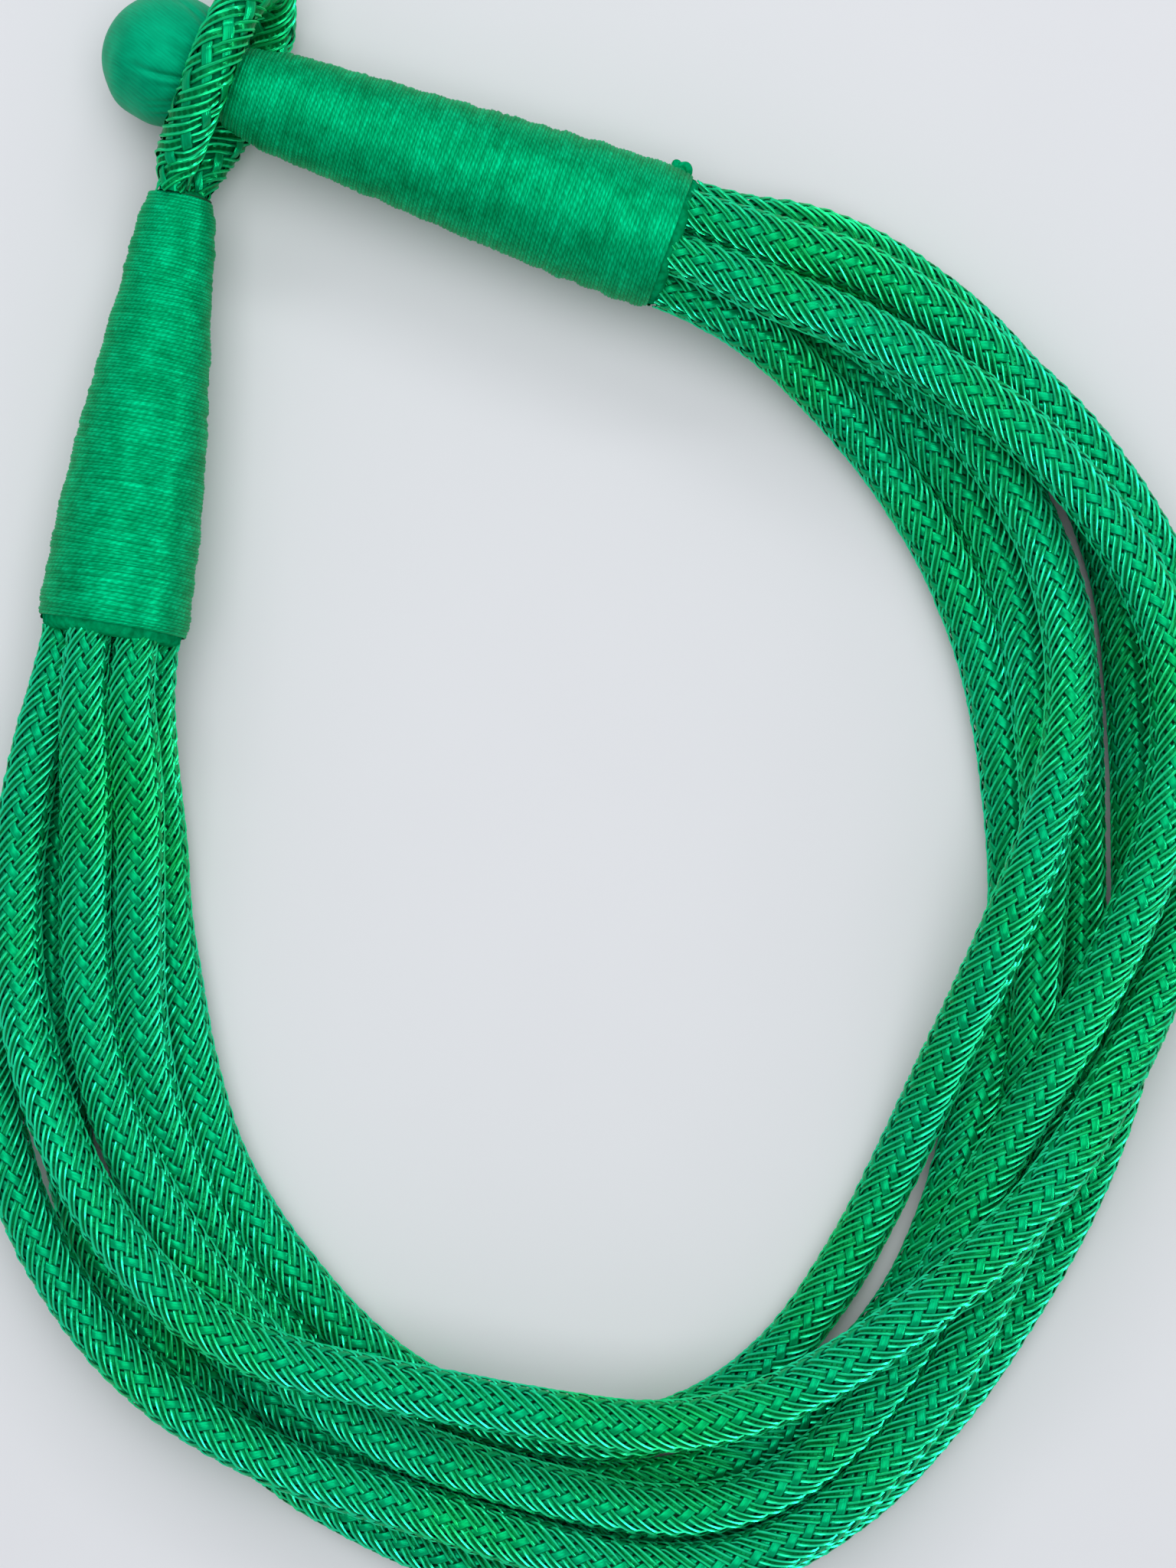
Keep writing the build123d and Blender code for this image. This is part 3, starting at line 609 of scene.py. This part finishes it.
class Nodes:
    """A short way to build one material's nodes."""

    def __init__(self, name):
        self.material = bpy.data.materials.new(name)
        self.material.use_nodes = True
        self.tree = self.material.node_tree
        self.shader = self.tree.nodes["Principled BSDF"]

    def add(self, kind, inputs=None, **settings):
        node = self.tree.nodes.new(kind)
        for key, value in settings.items():
            setattr(node, key, value)
        for key, value in (inputs or {}).items():
            if isinstance(value, bpy.types.NodeSocket):
                self.tree.links.new(value, node.inputs[key])
            else:
                node.inputs[key].default_value = value
        return node

    def link(self, source, target):
        self.tree.links.new(source, target)

    def math(self, operation, a, b=0.0, c=0.0):
        return self.add("ShaderNodeMath", {0: a, 1: b, 2: c}, operation=operation).outputs[0]

    def ramp(self, factor, stops):
        node = self.add("ShaderNodeValToRGB", {"Fac": factor})
        elements = node.color_ramp.elements
        while len(elements) < len(stops):
            elements.new(0.5)
        for element, (position, colour) in zip(elements, stops):
            element.position = position
            element.color = (*colour, 1.0)
        return node.outputs["Color"]

    def noise(self, vector, scale, detail=3.0, roughness=0.5):
        return self.add("ShaderNodeTexNoise", {"Vector": vector, "Scale": scale, "Detail": detail,
                                               "Roughness": roughness}).outputs["Fac"]

    def mix(self, factor, a, b, blend="MIX"):
        node = self.add("ShaderNodeMix", data_type="RGBA", blend_type=blend)
        for index, value in ((0, factor), (6, a), (7, b)):
            if isinstance(value, bpy.types.NodeSocket):
                self.link(value, node.inputs[index])
            else:
                node.inputs[index].default_value = value if index == 0 else (*value, 1.0)
        return node.outputs[2]

    def bump(self, height, strength, distance):
        bump = self.add("ShaderNodeBump", {"Height": height, "Strength": strength, "Distance": distance})
        self.link(bump.outputs["Normal"], self.shader.inputs["Normal"])

    def set(self, **values):
        for key, value in values.items():
            self.shader.inputs[key.replace("_", " ")].default_value = value


def ribbon_material(name, rim_highlight, film_shade, edge_shade):
    """Glossy plastic ribbon: rolled rims painted bright as a highlight with the thin sheet between painted
    dark as shade, or fine lines on the flat ones, which have painted highlights towards their sides and
    painted shade at their edges.
    """
    n = Nodes(name)
    uv = n.add("ShaderNodeUVMap", uv_map="UVMap").outputs["UV"]
    parts = n.add("ShaderNodeSeparateXYZ", {"Vector": uv})
    along = parts.outputs["Y"]
    flat = n.math("GREATER_THAN", parts.outputs["X"], FLAT_UV - 0.5)
    across = n.math("MULTIPLY_ADD", flat, -FLAT_UV, parts.outputs["X"])
    # Painted light on the railed ribbons: the rims are a painted highlight, the thin middle is painted shade
    # of the dark inside seen through it, and the edges are painted shade where they tuck under
    railed = n.ramp(across, [(0.0, edge_shade), (0.06, rim_highlight), (0.23, rim_highlight), (0.34, film_shade), (0.66, film_shade), (0.77, rim_highlight),
                             (0.94, rim_highlight), (1.0, edge_shade)])
    # The flat ribbons are painted lighter towards their sides as a highlight, and dark at their edges as
    # shade
    plain = n.ramp(across, [(0.0, edge_shade), (0.14, (0.0, 0.50, 0.20)), (0.30, (0.0, 0.38, 0.145)),
                            (0.70, (0.0, 0.38, 0.145)), (0.86, (0.0, 0.50, 0.20)), (1.0, edge_shade)])
    body = n.mix(flat, railed, plain)
    place_now = n.add("ShaderNodeTexCoord").outputs["Object"]
    cloudy = n.noise(place_now, 95.0, 2.0)
    colour = n.mix(n.math("MULTIPLY", cloudy, 0.14), body, (0.0, 0.36, 0.14))
    streak_at = n.add("ShaderNodeCombineXYZ", {"X": n.math("MULTIPLY", across, 7.0),
                                               "Y": n.math("MULTIPLY", along, 0.55)}).outputs["Vector"]
    streaks = n.noise(streak_at, 1.0, 4.0, 0.62)
    colour = n.mix(n.math("MULTIPLY_ADD", streaks, 1.0, -0.36), colour, (0.0, 0.09, 0.024))
    warm = n.math("MULTIPLY_ADD", n.noise(place_now, 38.0, 2.0), 4.0, -1.8)
    colour = n.mix(n.add("ShaderNodeClamp", {"Value": warm}).outputs[0], colour, (1.0, 1.0, 0.66), "MULTIPLY")
    n.link(colour, n.shader.inputs["Base Color"])
    lines = n.math("SINE", n.math("MULTIPLY", across, 44.0))
    height = n.math("ADD", n.math("MULTIPLY", lines, 0.3), n.math("MULTIPLY", streaks, 0.8))
    n.bump(height, 0.3, 0.00006)
    n.link(n.math("MULTIPLY_ADD", streaks, 0.20, 0.14), n.shader.inputs["Roughness"])
    n.set(Metallic=0.50, Specular_IOR_Level=0.22, Specular_Tint=(0.10, 1.0, 0.58, 1.0))
    return n.material


def filler_shade_material():
    """Soft filler seen through the gaps of the mesh: its own green deepened into painted shade from the
    sleeve around it.
    """
    n = Nodes("cord_filler_shade")
    place_now = n.add("ShaderNodeTexCoord").outputs["Object"]
    fuzz = n.noise(place_now, 1900.0, 4.0, 0.6)
    # Dark greens that stand partly for the shade inside the sleeve: painted shade
    colour = n.ramp(fuzz, [(0.25, (0.0, 0.024, 0.007)), (0.75, (0.0, 0.095, 0.030))])
    n.link(colour, n.shader.inputs["Base Color"])
    n.bump(fuzz, 0.6, 0.0002)
    n.link(n.math("MULTIPLY_ADD", fuzz, 0.2, 0.6), n.shader.inputs["Roughness"])
    n.set(Specular_IOR_Level=0.15)
    return n.material


def thread_material():
    """Lustrous wound thread: fine fibres along each turn, turns a little lighter or darker, painted shade in
    the creases between turns and small painted highlights on the plies.
    """
    n = Nodes("wound_thread")
    uv = n.add("ShaderNodeUVMap", uv_map="UVMap").outputs["UV"]
    parts = n.add("ShaderNodeSeparateXYZ", {"Vector": uv})
    across, along = parts.outputs["X"], parts.outputs["Y"]
    fibre_at = n.add("ShaderNodeCombineXYZ", {"X": n.math("MULTIPLY", across, 5.0),
                                              "Y": n.math("MULTIPLY", along, 0.9)}).outputs["Vector"]
    fibres = n.noise(fibre_at, 1.0, 5.0, 0.65)
    place_now = n.add("ShaderNodeTexCoord").outputs["Object"]
    patches = n.noise(place_now, 330.0, 3.0, 0.55)
    crease_shade = n.math("ABSOLUTE", n.math("SUBTRACT", across, 0.5))
    fraying = n.math("MULTIPLY_ADD", patches, 9.0, n.math("MULTIPLY", across, 5.5))
    plies_and_highlights = n.math("SINE", n.math("MULTIPLY_ADD", along, 2.0 * math.pi / PLY_LENGTH, fraying))
    turn_at = n.add("ShaderNodeCombineXYZ", {"X": n.math("MULTIPLY", along, 0.12)}).outputs["Vector"]
    turn_tone = n.noise(turn_at, 1.0)
    tone = n.math("ADD", n.math("MULTIPLY", fibres, 0.50), n.math("MULTIPLY", patches, 0.30))
    tone = n.math("MULTIPLY_ADD", turn_tone, 0.20, tone)
    # The plies lighten the colour a little: painted highlights
    tone = n.math("MULTIPLY_ADD", plies_and_highlights, 0.034, tone)
    colour = n.ramp(tone, [(0.34, (0.0, 0.155, 0.050)), (0.50, (0.0, 0.370, 0.140)),
                           (0.64, (0.0, 0.64, 0.28))])
    # Painted shade: darker towards the creases between turns
    colour = n.mix(n.math("MULTIPLY_ADD", crease_shade, 1.9, -0.42), colour, (0.0, 0.095, 0.026))
    n.link(colour, n.shader.inputs["Base Color"])
    n.bump(n.math("ADD", fibres, n.math("MULTIPLY", plies_and_highlights, 0.12)), 0.6, 0.00014)
    n.link(n.math("MULTIPLY_ADD", fibres, 0.25, 0.27), n.shader.inputs["Roughness"])
    n.set(Metallic=0.40, Specular_IOR_Level=0.06, Specular_Tint=(0.05, 1.0, 0.48, 1.0))
    return n.material


def satin_material():
    """Satin with its fine slanting twill lines."""
    n = Nodes("green_satin")
    place_now = n.add("ShaderNodeTexCoord").outputs["Object"]
    slope = (0.0, 0.0, math.radians(38))
    turned = n.add("ShaderNodeMapping", {"Vector": place_now, "Rotation": slope}).outputs[0]
    wavy = n.noise(place_now, 120.0, 3.0)
    drawn_out = n.add("ShaderNodeMapping", {"Vector": turned, "Scale": (420.0, 5200.0, 420.0)}).outputs[0]
    grain = n.noise(drawn_out, 1.0, 2.0)
    parts = n.add("ShaderNodeSeparateXYZ", {"Vector": turned})
    lines = n.math("SINE", n.math("MULTIPLY_ADD", parts.outputs["Y"], 2.0 * math.pi / TWILL_PITCH,
                                  n.math("MULTIPLY", wavy, 16.0)))
    weave = n.math("MULTIPLY_ADD", lines, 0.12, n.math("MULTIPLY", grain, 0.95))
    patches = n.noise(place_now, 260.0, 3.0)
    tone = n.math("ADD", n.math("MULTIPLY", weave, 0.45), n.math("MULTIPLY", patches, 0.55))
    colour = n.ramp(tone, [(0.2, (0.0, 0.215, 0.105)), (0.5, (0.0, 0.325, 0.158)), (0.8, (0.0, 0.44, 0.225))])
    n.link(colour, n.shader.inputs["Base Color"])
    n.bump(weave, 0.5, 0.00006)
    n.link(n.math("MULTIPLY_ADD", weave, 0.12, 0.42), n.shader.inputs["Roughness"])
    n.set(Metallic=0.25, Specular_IOR_Level=0.25, Specular_Tint=(0.05, 1.0, 0.62, 1.0))
    return n.material


def plain_material(name, low, high, scale, roughness):
    """A material with soft mottling, for pieces that hardly show."""
    n = Nodes(name)
    mottle = n.noise(n.add("ShaderNodeTexCoord").outputs["Object"], scale, 3.0)
    n.link(n.ramp(mottle, [(0.3, low), (0.7, high)]), n.shader.inputs["Base Color"])
    n.bump(mottle, 0.3, 0.0001)
    n.link(n.math("MULTIPLY_ADD", mottle, 0.15, roughness), n.shader.inputs["Roughness"])
    n.set(Specular_IOR_Level=0.0)
    return n.material


def dress(piece, material):
    piece.data.materials.clear()
    piece.data.materials.append(material)


# Colours given: the rims' painted highlight, painted shade of the thin middle, and painted shade at the
# edges; the loop's copy has a dimmer painted highlight and lighter painted shade, set for how the loop is lit
RIBBON = ribbon_material("mesh_ribbon", (0.02, 0.90, 0.45), (0.0, 0.17, 0.045), (0.0, 0.06, 0.012))
LOOP_RIBBON = ribbon_material("loop_ribbon", (0.01, 0.72, 0.28), (0.0, 0.19, 0.050), (0.0, 0.12, 0.028))
FILLER_SHADE, THREAD, SATIN = filler_shade_material(), thread_material(), satin_material()
BINDING = plain_material("bundle_fibre", (0.0, 0.16, 0.05), (0.0, 0.34, 0.125), 900.0, 0.6)
KNOT = plain_material("knot_thread", (0.0, 0.22, 0.078), (0.0, 0.46, 0.185), 1500.0, 0.5)
WOOD = plain_material("bead_wood", (0.42, 0.27, 0.14), (0.60, 0.42, 0.25), 400.0, 0.5)
for piece in sleeves:
    dress(piece, LOOP_RIBBON if piece.name.startswith("clasp_loop") else RIBBON)
for piece in cores[:-1]:
    dress(piece, FILLER_SHADE)
# The loop's core takes the lighter bundle green, so less painted shade shows through the loop's gaps than
# through the strands' filler
for piece in (cores[-1], button_bundle, loop_bundle):
    dress(piece, BINDING)
for piece in (button_thread, loop_thread):
    dress(piece, THREAD)
dress(knot, KNOT)
dress(cover, SATIN)
for node, material in (("loop_leg_ends", FILLER_SHADE), ("button_shank", FILLER_SHADE), ("button_bead", WOOD)):
    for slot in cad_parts[node].material_slots:
        slot.link = "OBJECT"
        slot.material = material

# ---------------------------------------------------------------- surface, light and camera
bpy.ops.mesh.primitive_plane_add(size=3.0, location=(0, 0, -0.1 * MM))
surface = bpy.context.object
surface.name = "pale_surface"
floor = Nodes("pale_surface")
specks = floor.noise(floor.add("ShaderNodeTexCoord").outputs["Object"], 35.0, 2.0)
floor.link(floor.ramp(specks, [(0.0, (0.636, 0.645, 0.676)), (1.0, (0.650, 0.659, 0.691))]),
           floor.shader.inputs["Base Color"])
floor.set(Roughness=0.6)
dress(surface, floor.material)


def area_light(name, location, size, power):
    data = bpy.data.lights.new(name, "AREA")
    data.shape = "RECTANGLE"
    data.size, data.size_y = size
    data.energy = power
    light = bpy.data.objects.new(name, data)
    light.location = location
    light.rotation_euler = (-Vector(location)).to_track_quat("-Z", "Y").to_euler()
    bpy.context.scene.collection.objects.link(light)
    return light


area_light("far_strip", (-0.15, 1.50, 1.25), (1.8, 0.22), 9.5)
glint_strip = area_light("right_strip", (1.00, -0.05, 0.50), (1.2, 0.10), 8.0)
glint_strip.visible_diffuse = False      # glints on the ribbons, no shadows on the surface
area_light("top_softbox", (0.0, 0.15, 1.60), (1.6, 1.6), 17.0)
world = bpy.data.worlds.new("studio")
world.use_nodes = True
background = world.node_tree.nodes["Background"]
background.inputs["Color"].default_value = (0.96, 0.975, 1.0, 1.0)
background.inputs["Strength"].default_value = 0.51
bpy.context.scene.world = world

camera_data = bpy.data.cameras.new("camera")
camera_data.sensor_fit = "VERTICAL"
camera_data.sensor_height = SENSOR_HEIGHT
camera_data.lens = SENSOR_HEIGHT * CAMERA_PLACE[2] / VIEW_HEIGHT
camera_data.clip_start = 0.01
camera_data.clip_end = 10.0
camera = bpy.data.objects.new("camera", camera_data)
camera.location = CAMERA_PLACE
bpy.context.scene.collection.objects.link(camera)
bpy.context.scene.camera = camera
bpy.context.scene.view_settings.view_transform = "Standard"
